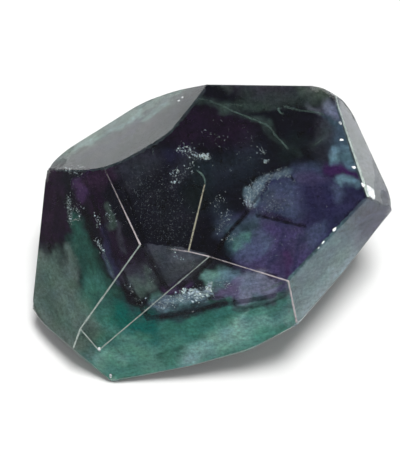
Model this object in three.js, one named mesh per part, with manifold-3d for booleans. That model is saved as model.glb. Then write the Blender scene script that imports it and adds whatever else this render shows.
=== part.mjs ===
// A fluorite freeform: one palm-sized lump of banded fluorite, cut and polished by hand on
// flat laps. It lies on its flat base. Millimetres, +Z up, -Y is the front. The origin is on
// the base, under the middle of the stone's box.

import * as THREE from 'three';
import { mergeVertices } from 'three/addons/utils/BufferGeometryUtils.js';
import Module from 'manifold-3d';

// Driving dimensions
const baseHeight = 0;        // height of the ground base
const skirtDepth = 40;       // how far the uncut blank reaches below the base
const cutterSize = 400;      // side of the blocks that cut the lower walls and the base
const mergeTolerance = 1e-4; // corners closer together than this are one corner

// Corners of the polished upper faces: [right, back, up].
// The girdle is the outermost ring, where the upper faces meet the lower walls.
const girdle = {
  leftShoulder: [-34.5, 14, 32.5],
  leftShoulderBack: [-31.5, 18, 31.5],
  backLeft: [-13, 29, 35],
  backLeftHigh: [-5.5, 30.5, 38.5],
  backPeak: [1.5, 30, 43.5],
  backRight: [27, 32, 37.5],
  rightShoulder: [30.5, 30.5, 36.5],
  rightShoulderFront: [34, 29, 32.5],
  rightTipBack: [43.5, 9, 27],
  rightTip: [43.5, 6, 28],
  rightMid: [32.5, -7.5, 23],
  frontRight: [22, -19, 20.5],
  frontMid: [12, -23, 13],
  frontLow: [-2.5, -26, 7],
  toe: [-21, -28.5, 1.5],
  toeLeft: [-29.5, -22.5, 10],
  heelFront: [-36.5, -16.5, 8.5],
  heelBack: [-39.5, -12.5, 8.5],
};

// Corners inside the girdle, on top of the stone.
const crown = {
  bevelFold: [-21, 11, 43],
  crest: [-8.5, 16.5, 46.5],
  crestBack: [-3.5, 22.5, 45],
  tableLeft: [-13, -5.5, 39],
  tableMid: [-2.5, -7.2, 39.7],
  tableFront: [2, -8, 38.5],
  tableRight: [19.5, -12, 32.5],
  tableCentre: [1, 6.5, 44.5],
  rightApex: [37.5, 6.5, 35.5],
  rightBrow: [32, 24.5, 36.5],
  stripLeft: [-27.5, -19, 15.5],
  stripFront: [-23.5, -23, 10.5],
};

// Polished faces, each a ring of corners going anticlockwise as seen from above.
// A ring starts at the corner that its triangles fan out from.
const upperFaces = {
  leftBackBevel: ['backLeft', 'leftShoulderBack', 'leftShoulder', 'bevelFold', 'crest',
    'crestBack', 'backPeak', 'backLeftHigh'],
  tableLeftFace: ['bevelFold', 'tableLeft', 'tableMid', 'tableCentre', 'crest'],
  tableBackFace: ['tableCentre', 'rightApex', 'rightBrow', 'rightShoulder', 'backRight',
    'backPeak', 'crestBack', 'crest'],
  tableRightFace: ['tableFront', 'tableRight', 'rightApex', 'tableCentre', 'tableMid'],
  frontStrip: ['tableMid', 'tableLeft', 'stripLeft', 'stripFront', 'tableFront'],
  leftFace: ['stripLeft', 'tableLeft', 'bevelFold', 'leftShoulder', 'heelBack', 'heelFront',
    'toeLeft'],
  toeFace: ['toeLeft', 'toe', 'stripFront', 'stripLeft'],
  frontFace: ['stripFront', 'toe', 'frontLow', 'frontMid', 'frontRight', 'tableRight',
    'tableFront'],
  rightFrontBevel: ['tableRight', 'frontRight', 'rightMid', 'rightTip', 'rightApex'],
  rightBackBevel: ['rightApex', 'rightTip', 'rightTipBack', 'rightShoulderFront',
    'rightShoulder', 'rightBrow'],
};

// Lower walls, each cut from the girdle between two corners and leaning in under the stone.
// drop starts the cut a little below the girdle, lean is in degrees from upright.
const lowerWalls = [
  { from: 'heelBack', to: 'leftShoulder', lean: 14, drop: 1 },
  { from: 'leftShoulderBack', to: 'backLeft', lean: 12, drop: 1 },
  { from: 'backLeft', to: 'backRight', lean: 14, drop: 3 },
  { from: 'backRight', to: 'rightShoulderFront', lean: 20, drop: 1.5 },
  { from: 'rightShoulderFront', to: 'rightTipBack', lean: 22, drop: 1 },
  { from: 'rightTip', to: 'frontRight', lean: 30, drop: 2 },
  { from: 'frontRight', to: 'frontMid', lean: 33, drop: 1 },
  { from: 'frontMid', to: 'toe', lean: 42, drop: 2 },
  { from: 'toe', to: 'heelFront', lean: 40, drop: 1 },
  { from: 'heelFront', to: 'heelBack', lean: 36, drop: 1 },
];

const corners = { ...girdle, ...crown };
const wasm = await Module();
wasm.setup();

function toSolid(geometry) {
  const bare = geometry.clone();
  bare.deleteAttribute('normal');
  bare.deleteAttribute('uv');
  const merged = mergeVertices(bare, mergeTolerance);
  return new wasm.Manifold(new wasm.Mesh({
    numProp: 3,
    vertProperties: new Float32Array(merged.attributes.position.array),
    triVerts: new Uint32Array(merged.index.array),
  }));
}

function toGeometry(solid) {
  const mesh = solid.getMesh();
  const geometry = new THREE.BufferGeometry();
  geometry.setAttribute('position', new THREE.BufferAttribute(mesh.vertProperties, 3));
  geometry.setIndex(new THREE.BufferAttribute(mesh.triVerts, 1));
  geometry.computeVertexNormals();
  return geometry;
}

// The blank: the polished upper faces on an upright skirt that reaches below the base.
function makeBlank() {
  const triangles = [];
  for (const ring of Object.values(upperFaces)) {
    for (let i = 1; i < ring.length - 1; i += 1) {
      triangles.push(corners[ring[0]], corners[ring[i]], corners[ring[i + 1]]);
    }
  }
  const ring = Object.values(girdle);
  const foot = ring.map(([x, y]) => [x, y, baseHeight - skirtDepth]);
  for (let i = 0; i < ring.length; i += 1) {
    const next = (i + 1) % ring.length;
    triangles.push(ring[i], ring[next], foot[i]);
    triangles.push(ring[next], foot[next], foot[i]);
    if (i > 0 && next > 0) triangles.push(foot[0], foot[i], foot[next]);
  }
  const geometry = new THREE.BufferGeometry();
  geometry.setAttribute('position', new THREE.Float32BufferAttribute(triangles.flat(), 3));
  return geometry;
}

// A block whose inner face is the wall's plane: everything outside that plane is cut away.
function makeWallCutter({ from, to, lean, drop }) {
  const start = new THREE.Vector3(...corners[from]);
  const end = new THREE.Vector3(...corners[to]);
  const along = end.clone().sub(start).normalize();
  const outward = new THREE.Vector3(-along.y, along.x, 0).normalize();
  const tilt = THREE.MathUtils.degToRad(lean);
  const normal = outward.multiplyScalar(Math.cos(tilt));
  normal.z = -Math.sin(tilt);
  normal.addScaledVector(along, -normal.dot(along)).normalize();
  const block = new THREE.BoxGeometry(cutterSize, cutterSize, cutterSize);
  block.translate(0, 0, cutterSize / 2);
  const upward = new THREE.Vector3(0, 0, 1);
  block.applyQuaternion(new THREE.Quaternion().setFromUnitVectors(upward, normal));
  block.translate(start.x, start.y, start.z - drop);
  return block;
}

function makeBaseCutter() {
  const block = new THREE.BoxGeometry(cutterSize, cutterSize, cutterSize);
  block.translate(0, 0, baseHeight - cutterSize / 2);
  return block;
}

function makeStone() {
  let stone = toSolid(makeBlank());
  for (const wall of lowerWalls) {
    stone = stone.subtract(toSolid(makeWallCutter(wall)));
  }
  stone = stone.subtract(toSolid(makeBaseCutter()));
  const geometry = toGeometry(stone);
  geometry.computeBoundingBox();
  const middle = geometry.boundingBox.getCenter(new THREE.Vector3());
  geometry.translate(-middle.x, -middle.y, 0);
  return geometry;
}

// Polished fluorite: dark green with a purple cast, glossy, not a metal.
const polishedFluorite = new THREE.MeshStandardMaterial({
  color: 0x2c4a4a,
  roughness: 0.08,
  metalness: 0,
});

const fluoriteFreeform = new THREE.Mesh(makeStone(), polishedFluorite);
fluoriteFreeform.name = 'fluorite_freeform';

const group = new THREE.Group();
group.add(fluoriteFreeform);

export default group;
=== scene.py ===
import math
import random

import bmesh
import bpy
import numpy as np
from mathutils import Matrix, Vector, geometry, noise
from mathutils.bvhtree import BVHTree


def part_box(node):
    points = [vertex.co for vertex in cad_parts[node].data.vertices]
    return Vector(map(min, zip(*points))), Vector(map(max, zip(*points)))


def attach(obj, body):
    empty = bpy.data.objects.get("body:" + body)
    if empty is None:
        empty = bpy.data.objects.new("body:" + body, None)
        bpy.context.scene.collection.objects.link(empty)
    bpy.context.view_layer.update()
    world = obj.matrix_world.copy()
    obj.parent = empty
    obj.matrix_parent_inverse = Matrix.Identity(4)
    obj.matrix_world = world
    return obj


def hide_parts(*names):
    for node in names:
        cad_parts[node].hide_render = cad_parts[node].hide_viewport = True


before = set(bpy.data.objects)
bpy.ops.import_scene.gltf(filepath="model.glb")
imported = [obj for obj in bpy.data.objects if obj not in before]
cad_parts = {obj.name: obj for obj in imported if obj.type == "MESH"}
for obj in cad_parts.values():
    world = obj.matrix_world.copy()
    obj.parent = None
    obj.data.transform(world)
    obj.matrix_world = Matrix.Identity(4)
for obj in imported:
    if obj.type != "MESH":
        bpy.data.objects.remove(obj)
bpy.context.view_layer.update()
print("frame loaded")

mm = 0.001
noise.seed_set(7)
scene = bpy.context.scene
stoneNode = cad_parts["fluorite_freeform"]
boxLow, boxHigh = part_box("fluorite_freeform")
boxSize = boxHigh - boxLow
stoneMiddle = (boxLow + boxHigh) / 2


# a place in the stone's own box: shares of its width, depth and height
def inBox(right, back, up):
    return boxLow + Vector((right * boxSize.x, back * boxSize.y, up * boxSize.z))


# sRGB hex to linear colour
def linear(hexColour):
    channels = [int(hexColour[i:i + 2], 16) / 255 for i in (1, 3, 5)]
    curve = [c / 12.92 if c <= 0.04045 else ((c + 0.055) / 1.055) ** 2.4 for c in channels]
    return (*curve, 1.0)


# each member of a ring with the one after it
def pairs(ring):
    return zip(ring, ring[1:] + ring[:1])


# the middle of a ring of places, and the normal of the face inside it
def ringPlane(places):
    middle = sum(places, Vector()) / len(places)
    normal = Vector()
    for p, q in pairs(places):
        normal += (p - middle).cross(q - middle)
    return middle, normal.normalized()


# a place on a smooth curve, t of the way from q to r; the curve comes from p and goes on to s
def curvePlace(p, q, r, s, t):
    return (q * (2 * t ** 3 - 3 * t ** 2 + 1) + (r - p) / 2 * (t ** 3 - 2 * t ** 2 + t)
            + r * (3 * t ** 2 - 2 * t ** 3) + (s - q) / 2 * (t ** 3 - t ** 2))


def newTree(name):
    material = bpy.data.materials.new(name)
    material.use_nodes = True
    material.node_tree.nodes.clear()
    return material, material.node_tree


# adds a node, sets its own settings and its sockets; a value that is a node or one of its
# sockets is linked; inOrder fills the sockets in use from the first one, as some share a name
def addNode(tree, kind, settings=None, inOrder=(), **sockets):
    node = tree.nodes.new("ShaderNode" + kind)
    for key, value in (settings or {}).items():
        setattr(node, key, value)
    inUse = [socket for socket in node.inputs if socket.enabled]
    named = [(node.inputs[key.replace("_", " ")], value) for key, value in sockets.items()]
    for target, value in [*zip(inUse, inOrder), *named]:
        if isinstance(value, bpy.types.Node):
            value = next(socket for socket in value.outputs if socket.enabled)
        if isinstance(value, bpy.types.NodeSocket):
            tree.links.new(value, target)
        else:
            target.default_value = value
    return node


def addObject(name, mesh, material):
    mesh.materials.append(material)
    made = bpy.data.objects.new(name, mesh)
    scene.collection.objects.link(made)
    return made


def addMesh(name, vertices, polygons, material):
    mesh = bpy.data.meshes.new(name)
    mesh.from_pydata([tuple(v) for v in vertices], [], polygons)
    return addObject(name, mesh, material)


def keepOnStone(made):
    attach(made, "root")


# one value for each vertex, which the material reads by its name
def addLayer(made, name, kind, field, values):
    layer = made.data.attributes.new(name, kind, "POINT")
    layer.data.foreach_set(field, values)


# hand-polished fluorite: clear, with only a weak gloss, as its index is low for a mineral
stoneSpec = {
    "ior": 1.434,
    "roughness": 0.02,
    "tint": "#26c9bd",
    "density": 110,
}
polishedFluorite, tree = newTree("polishedFluorite")
surface = addNode(tree, "BsdfPrincipled", Base_Color=(1, 1, 1, 1), IOR=stoneSpec["ior"],
                  Roughness=stoneSpec["roughness"], Transmission_Weight=1.0)
depth = addNode(tree, "VolumeAbsorption", Color=linear(stoneSpec["tint"]),
                Density=stoneSpec["density"])
addNode(tree, "OutputMaterial", Surface=surface, Volume=depth)

# the CAD corners, by rough place in the box; each one snaps to the nearest CAD vertex.
# first the girdle, the outermost ring, then the corners inside it
girdlePlaces = {
    "leftShoulder": (0.06, 0.70, 0.70), "leftShoulderBack": (0.10, 0.77, 0.68),
    "backLeft": (0.32, 0.95, 0.75), "backLeftHigh": (0.41, 0.975, 0.83),
    "backPeak": (0.49, 0.97, 0.935), "backRight": (0.80, 1.0, 0.81),
    "rightShoulder": (0.84, 0.975, 0.785), "rightShoulderFront": (0.885, 0.95, 0.70),
    "rightTipBack": (1.0, 0.62, 0.58), "rightTip": (1.0, 0.57, 0.60),
    "rightMid": (0.87, 0.35, 0.495), "frontRight": (0.74, 0.16, 0.44),
    "frontMid": (0.62, 0.09, 0.28), "frontLow": (0.445, 0.04, 0.15),
    "toe": (0.22, 0.0, 0.03), "toeLeft": (0.12, 0.10, 0.215),
    "heelFront": (0.035, 0.20, 0.18), "heelBack": (0.0, 0.265, 0.18),
}
crownPlaces = {
    "bevelFold": (0.22, 0.65, 0.925), "crest": (0.37, 0.745, 1.0),
    "crestBack": (0.43, 0.845, 0.97), "tableLeft": (0.32, 0.38, 0.84),
    "tableMid": (0.446, 0.353, 0.854), "tableFront": (0.50, 0.34, 0.83),
    "tableRight": (0.71, 0.275, 0.70), "tableCentre": (0.49, 0.58, 0.955),
    "rightApex": (0.93, 0.58, 0.765), "rightBrow": (0.86, 0.875, 0.785),
    "stripLeft": (0.145, 0.16, 0.335), "stripFront": (0.19, 0.09, 0.225),
}
cornerPlaces = {**girdlePlaces, **crownPlaces}
# the polished faces, each a ring of corners; its CAD triangles fan out from the first corner
upperFaces = {
    "leftBackBevel": "backLeft leftShoulderBack leftShoulder bevelFold crest crestBack backPeak"
                     " backLeftHigh",
    "tableLeftFace": "bevelFold tableLeft tableMid tableCentre crest",
    "tableBackFace": "tableCentre rightApex rightBrow rightShoulder backRight backPeak"
                     " crestBack crest",
    "tableRightFace": "tableFront tableRight rightApex tableCentre tableMid",
    "frontStrip": "tableMid tableLeft stripLeft stripFront tableFront",
    "leftFace": "stripLeft tableLeft bevelFold leftShoulder heelBack heelFront toeLeft",
    "toeFace": "toeLeft toe stripFront stripLeft",
    "frontFace": "stripFront toe frontLow frontMid frontRight tableRight tableFront",
    "rightFrontBevel": "tableRight frontRight rightMid rightTip rightApex",
    "rightBackBevel": "rightApex rightTip rightTipBack rightShoulderFront rightShoulder"
                      " rightBrow",
}
# edges that the lap left as one smooth curve through several corners
curvedEdges = [
    "leftShoulder bevelFold crest crestBack backPeak",
    "rightShoulder rightBrow rightApex",
]
# corners that hand work left round, with the reach of the rounding in mm
roundedCorners = {
    "leftShoulder": 3.0, "leftShoulderBack": 3.0, "backLeft": 2.0, "backRight": 1.4,
    "rightShoulder": 2.6, "rightShoulderFront": 2.6, "rightTip": 1.6, "rightTipBack": 2.0,
    "heelFront": 2.0, "heelBack": 2.0, "toe": 0.8, "frontMid": 2.0, "backLeftHigh": 2.0,
    "frontRight": 1.2,
}
# how the faces are drawn: steps between points, and what hand work left of a flat face
stoneShape = {
    "edgeStep": 0.9 * mm,
    "fillStep": 1.3 * mm,
    "domeHeight": 0.06 * mm,
    "domeReach": 3.0 * mm,
    "rippleHeight": 0.03 * mm,
    "rippleLength": 11 * mm,
    "ripplePlace": Vector((7.3, 1.9, 4.4)),
    "edgeClearance": 0.6,
    "roundingTurns": 14,
    "roundingRise": 1.5,
    "roundingStrength": 0.6,
    "sameWallDegrees": 0.7,
}

cad = bmesh.new()
cad.from_mesh(stoneNode.data)
bmesh.ops.remove_doubles(cad, verts=cad.verts, dist=0.001 * mm)
cad.verts.ensure_lookup_table()
cornerIndex = {}
for name, place in cornerPlaces.items():
    target = inBox(*place)
    cornerIndex[name] = min(cad.verts, key=lambda v: (v.co - target).length).index

faceName = {}
for name, ring in upperFaces.items():
    ringIndices = {cornerIndex[c] for c in ring.split()}
    first = cornerIndex[ring.split()[0]]
    for face in cad.faces:
        indices = {v.index for v in face.verts}
        if indices <= ringIndices and first in indices:
            faceName[face.index] = name

# the lower walls and the base: neighbouring triangles in one plane are one face
sameWall = math.radians(stoneShape["sameWallDegrees"])
for face in cad.faces:
    if face.index in faceName:
        continue
    wallName = f"wall{face.index}"
    faceName[face.index] = wallName
    waiting = [face]
    while waiting:
        current = waiting.pop()
        for edge in current.edges:
            for other in edge.link_faces:
                if other.index not in faceName and face.normal.angle(other.normal) < sameWall:
                    faceName[other.index] = wallName
                    waiting.append(other)

# the outline of each face, as a ring of CAD vertex numbers
rings = {}
for name in dict.fromkeys(faceName.values()):
    after = {}
    for face in cad.faces:
        if faceName[face.index] != name:
            continue
        for loop in face.loops:
            across = loop.link_loop_radial_next.face
            if faceName[across.index] != name:
                after[loop.vert.index] = loop.link_loop_next.vert.index
    ring = [next(iter(after))]
    while after[ring[-1]] != ring[0]:
        ring.append(after[ring[-1]])
    rings[name] = ring
print("CAD:", len(cad.faces), "triangles in", len(rings), "faces")

points = [v.co.copy() for v in cad.verts]
curveThrough = {}
for chain in curvedEdges:
    names = chain.split()
    for i in range(len(names) - 1):
        before = names[max(i - 1, 0)]
        later = names[min(i + 2, len(names) - 1)]
        pair = frozenset((cornerIndex[names[i]], cornerIndex[names[i + 1]]))
        curveThrough[pair] = [points[cornerIndex[n]].copy()
                              for n in (before, names[i], names[i + 1], later)]
edgeLines = {}


# the line of points along one edge, shared by the two faces that meet there
def edgeLine(a, b):
    if (a, b) in edgeLines:
        return edgeLines[a, b]
    start, end = points[a], points[b]
    count = max(1, round((end - start).length / stoneShape["edgeStep"]))
    knots = curveThrough.get(frozenset((a, b)))
    if knots and (knots[1] - start).length > 1e-9:
        knots = knots[::-1]
    line = [a]
    for i in range(1, count):
        t = i / count
        points.append(curvePlace(*knots, t) if knots else start.lerp(end, t))
        line.append(len(points) - 1)
    line.append(b)
    edgeLines[a, b] = line
    edgeLines[b, a] = line[::-1]
    return line


# the points all the way round a ring of CAD corners
def ringLine(ring):
    return [i for a, b in pairs(ring) for i in edgeLine(a, b)[:-1]]


outlines = {name: ringLine(ring) for name, ring in rings.items()}

# soft corners: the girdle's points near a rounded corner are pulled towards their neighbours
girdle = ringLine([cornerIndex[name] for name in girdlePlaces])
for name, reach in roundedCorners.items():
    corner = points[cornerIndex[name]].copy()
    for turn in range(stoneShape["roundingTurns"]):
        moved = {}
        for k, i in enumerate(girdle):
            share = 1 - (points[i] - corner).length / (reach * mm)
            if share > 0:
                middle = (points[girdle[k - 1]] + points[girdle[(k + 1) % len(girdle)]]) / 2
                rise = min(1, share * stoneShape["roundingRise"])
                moved[i] = points[i].lerp(middle, rise * stoneShape["roundingStrength"])
        for i, place in moved.items():
            points[i] = place


# fills a face with a fine triangle mesh: nearly flat, slightly domed and rippled by hand work
def fillFace(outline):
    step = stoneShape["fillStep"]
    edge = [points[i] for i in outline]
    middle, normal = ringPlane(edge)
    across = normal.orthogonal().normalized()
    along = normal.cross(across)
    rim = np.array([[(p - middle).dot(way) for way in (across, along, normal)] for p in edge])
    nextRim = np.roll(rim, -1, axis=0)
    length = np.linalg.norm(nextRim - rim, axis=1)
    rimWeight = (length + np.roll(length, 1)) / 2

    # rows of places inside the outline, not too close to it
    low, high = rim.min(0), rim.max(0)
    rowHeight = step * math.sqrt(3) / 2
    grid = [(low[0] + (i + 0.5 * (j % 2)) * step, low[1] + j * rowHeight)
            for j in range(int((high[1] - low[1]) / rowHeight) + 1)
            for i in range(int((high[0] - low[0]) / step) + 1)]
    grid = np.array(grid).reshape(-1, 2)
    x, y = grid[:, :1], grid[:, 1:]
    x0, y0, x1, y1 = rim[:, 0], rim[:, 1], nextRim[:, 0], nextRim[:, 1]
    crosses = (y0 > y) != (y1 > y)
    meets = x < x0 + (y - y0) * (x1 - x0) / np.where(y1 == y0, 1e-12, y1 - y0)
    inside = (crosses & meets).sum(1) % 2 == 1
    gap = np.sqrt((x - x0) ** 2 + (y - y0) ** 2)
    grid = grid[inside & (gap.min(1) > stoneShape["edgeClearance"] * step)]

    # their heights follow the outline's, and swell a little away from it
    x, y = grid[:, :1], grid[:, 1:]
    weight = rimWeight / ((x - x0) ** 2 + (y - y0) ** 2)
    height = (weight * rim[:, 2]).sum(1) / weight.sum(1)
    inset = math.pi / weight.sum(1)
    swell = 1 - np.exp(-inset / stoneShape["domeReach"])
    numbers = list(outline)
    for (u, v), h, s in zip(grid, height, swell):
        place = middle + across * float(u) + along * float(v)
        ripple = noise.noise(place / stoneShape["rippleLength"] + stoneShape["ripplePlace"])
        bulge = stoneShape["domeHeight"] + stoneShape["rippleHeight"] * ripple
        place += normal * float(h + s * bulge)
        points.append(place)
        numbers.append(len(points) - 1)

    flat = [Vector((u / mm, v / mm)) for u, v in [*rim[:, :2], *grid]]
    made = geometry.delaunay_2d_cdt(flat, [], [list(range(len(rim)))], 1, 1e-7)
    origin = [o[0] for o in made[3]]
    return [[numbers[origin[i]] for i in triangle] for triangle in made[2]]


faces, faceGroups = [], []
for group, outline in enumerate(outlines.values()):
    filled = fillFace(outline)
    faces += filled
    faceGroups += [group] * len(filled)

stone = addMesh("polishedStone", points, faces, polishedFluorite)
mesh = stone.data
mesh.validate()
mesh.update()
mesh.polygons.foreach_set("use_smooth", [True] * len(mesh.polygons))
facesOfEdge = {}
for polygon, group in zip(mesh.polygons, faceGroups):
    for key in polygon.edge_keys:
        facesOfEdge.setdefault(key, set()).add(group)
softSpots = [(Vector(cad.verts[cornerIndex[name]].co), reach * mm)
             for name, reach in roundedCorners.items()]
for edge in mesh.edges:
    middle = (mesh.vertices[edge.vertices[0]].co + mesh.vertices[edge.vertices[1]].co) / 2
    soft = any((middle - spot).length < reach for spot, reach in softSpots)
    edge.use_edge_sharp = len(facesOfEdge[tuple(sorted(edge.vertices))]) > 1 and not soft
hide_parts("fluorite_freeform")
keepOnStone(stone)
stoneTree = BVHTree.FromPolygons(points, faces)
print("polishedStone:", len(mesh.polygons), "triangles")

# fluorite grows as cubes, so its colour zones end at flat cube faces; each zone is the stone's
# own shape moved in a little and cut by one or two of those faces; sizes in mm
zoneShape = {
    "blankSize": 300,
    "cell": 2.0,
    "cellReach": 50,
    "wobble": 0.25,
    "wobbleLength": 5,
    "bandInset": 0.7,
    "bandWobble": 0.2,
}
stonePlanes = [ringPlane([cad.verts[i].co for i in ring]) for ring in rings.values()]


# coloured, clear crystal: no surface of its own, as there is no gap, only its colour in depth
def zoneMaterial(name, tint, density):
    material, tree = newTree(name)
    surface = addNode(tree, "BsdfPrincipled", Base_Color=(1, 1, 1, 1), IOR=1.0,
                      Roughness=0.0, Transmission_Weight=1.0)
    depth = addNode(tree, "VolumeAbsorption", Color=linear(tint), Density=density)
    addNode(tree, "OutputMaterial", Surface=surface, Volume=depth)
    return material


# the stone's shape moved in by inset mm and cut by some more planes, in cells of a few mm
def addZone(name, inset, cuts, wobble, material):
    body = bmesh.new()
    bmesh.ops.create_cube(body, size=zoneShape["blankSize"] * mm)
    for place, normal in [(p - n * inset * mm, n) for p, n in stonePlanes] + cuts:
        cut = bmesh.ops.bisect_plane(body, geom=body.verts[:] + body.edges[:] + body.faces[:],
                                     plane_co=place, plane_no=normal, clear_outer=True)
        rim = [e for e in cut["geom_cut"] if isinstance(e, bmesh.types.BMEdge)]
        if rim:
            bmesh.ops.contextual_create(body, geom=rim)
    cells = int(zoneShape["cellReach"] / zoneShape["cell"])
    for axis in range(3):
        for i in range(-cells, cells):
            place = stoneMiddle.copy()
            place[axis] += i * zoneShape["cell"] * mm
            direction = Vector((0, 0, 0))
            direction[axis] = 1
            bmesh.ops.bisect_plane(body, geom=body.verts[:] + body.edges[:] + body.faces[:],
                                   plane_co=place, plane_no=direction)
    bmesh.ops.remove_doubles(body, verts=body.verts, dist=0.01 * mm)
    bmesh.ops.recalc_face_normals(body, faces=body.faces)
    for vertex in body.verts:
        turn = noise.noise_vector(vertex.co / (zoneShape["wobbleLength"] * mm))
        vertex.co += turn * wobble * mm
    zone = bpy.data.meshes.new(name)
    body.to_mesh(zone)
    keepOnStone(addObject(name, zone, material))
    print(name, len(body.faces), "faces")


# a plane through a place in mm from the stone's middle in plan, at a height above the base
def facePlane(right, back, up, normal, shift=0.0):
    normal = Vector(normal).normalized()
    place = Vector((stoneMiddle.x, stoneMiddle.y, boxLow.z)) + Vector((right, back, up)) * mm
    return place - normal * shift * mm, normal


leftCubeFace = (-0.93, -0.31, -0.22)
frontCubeFace = (0.215, -0.88, -0.38)
rightUnderFace = (0.72, -0.465, -0.51)
outerLeft = (-20.2, -7.7, 28.2, leftCubeFace)
outerFront = (3.0, -17.3, 23.6, frontCubeFace)
innerLeft = (-11.5, -10.8, 33.0, leftCubeFace)
innerRight = (1.0, -9.3, 37.4, rightUnderFace)
wedgeFaces = [(-31.3, 5, 20, (1, 0, 0.15)), (-34.5, -2.5, 20, (0.7, -0.7, 0))]
# inset in mm, the faces that cut it, tint and density
growthZones = {
    "violetZone": (1.0, [outerLeft, outerFront], "#6a5acc", 40),
    "darkZone": (1.6, [innerLeft, innerRight], "#20202a", 150),
    "darkWedge": (0.8, wedgeFaces, "#2a1c2c", 400),
}
for name, (inset, cuts, tint, density) in growthZones.items():
    planes = [facePlane(*cut) for cut in cuts]
    addZone(name, inset, planes, zoneShape["wobble"], zoneMaterial(name, tint, density))

# thin dense bands along the cube faces, nearly black with purple: the face, the thickness in mm
# and the face that ends it; all of them also stop at two ends
bandZone = zoneMaterial("purpleBand", "#5a1f78", 900)
thinBands = {
    "outerLeftBand": (outerLeft, 0.9, outerFront),
    "outerFrontBand": (outerFront, 1.2, outerLeft),
    "innerLeftBand": (innerLeft, 0.5, innerRight),
    "innerRightBand": (innerRight, 0.7, innerLeft),
}
bandEnds = [facePlane(0, 10, 30, (0, 1, 0)), facePlane(19, -10, 25, (0.8, -0.6, 0))]
for name, (face, thickness, other) in thinBands.items():
    place, normal = facePlane(*face, shift=thickness)
    cuts = [facePlane(*face), (place, -normal), facePlane(*other), *bandEnds]
    addZone(name, zoneShape["bandInset"], cuts, zoneShape["bandWobble"], bandZone)


# the polished surface straight under a plan position in mm from the stone's middle
def onSurface(right, back):
    above = Vector((stoneMiddle.x + right * mm, stoneMiddle.y + back * mm, 2 * boxHigh.z))
    return stoneTree.ray_cast(above, Vector((0, 0, -1)))[:2]


# a steeper surface doesn't count as the top, nor does a place nearer to another surface
leastUp = 0.3
leastGap = 0.4


# a place this many mm deep under the polished surface, and the surface's normal; nothing where
# that is outside the stone or too near a lower wall
def underSurface(right, back, depth):
    hit, normal = onSurface(right, back)
    if hit is None or normal.z < leastUp:
        return None
    place = hit - Vector((0, 0, depth / normal.z * mm))
    gap = stoneTree.find_nearest(place)[3] / mm
    return (place, normal) if gap > leastGap * depth else None


# how far places are from a path, in plan
def gapToPath(x, y, path):
    gap = np.full_like(x, 1e9)
    for (x0, y0), (x1, y1) in zip(path, path[1:] or path):
        dx, dy = x1 - x0, y1 - y0
        t = ((x - x0) * dx + (y - y0) * dy) / max(dx * dx + dy * dy, 1e-9)
        t = np.clip(t, 0, 1)
        gap = np.minimum(gap, np.hypot(x - x0 - t * dx, y - y0 - t * dy))
    return gap


# how strongly places belong to a soft zone around a path of (right, back) places in mm: 1 near
# the path, falling to 0 over the outer part of its radius
def zoneShare(x, y, radius, softness, path):
    share = np.clip((1 - gapToPath(x, y, path) / radius) / softness, 0, 1)
    return share * share * (3 - 2 * share)


# what the crystal is tinted by, from the clear green rims to the nearly black core; the bevel and
# tip tints are partly painted reflection
tints = {
    "ink": "#181626", "plumBlack": "#2e1935", "plum": "#462a48", "smoke": "#464352",
    "ash": "#5d5967", "duskViolet": "#403a64", "violet": "#655686", "slateBlue": "#787fa6",
    "lilacGrey": "#a59fbd", "plumLilac": "#7f6a96", "magenta": "#5e3270",
    "purple": "#513866", "magentaPlum": "#674078",
    "deepTeal": "#0f7f78", "teal": "#5e9f93", "seaGreen": "#80b4a8", "paleSea": "#a6cdca",
    "bottle": "#37695f", "greyGreen": "#7d9089", "paleGreen": "#90a19b", "mint": "#a3cfc7",
    "foam": "#c4eee6", "ice": "#9eb4cc", "iceTeal": "#94b4c8", "seaBlue": "#648b94",
    "slateTeal": "#66798f", "greenBlack": "#212c31", "petrol": "#404b5c", "frost": "#aaa7b8",
    # the bevel and tip tints stand in for the bevels' grey sheen: painted reflection; the darker
    # bevel tint is painted shade, the pale tip tint a painted highlight
    "moss": "#6a746d", "bevelGrey": "#61646b", "bevelSea": "#82a198", "bevelShade": "#484d54",
    "paleMoss": "#6c7f78", "tipBlue": "#778f98", "tipHighlight": "#9cb0b6", "tipLilac": "#595a74",
    "tipGrey": "#737b84",
}
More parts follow.
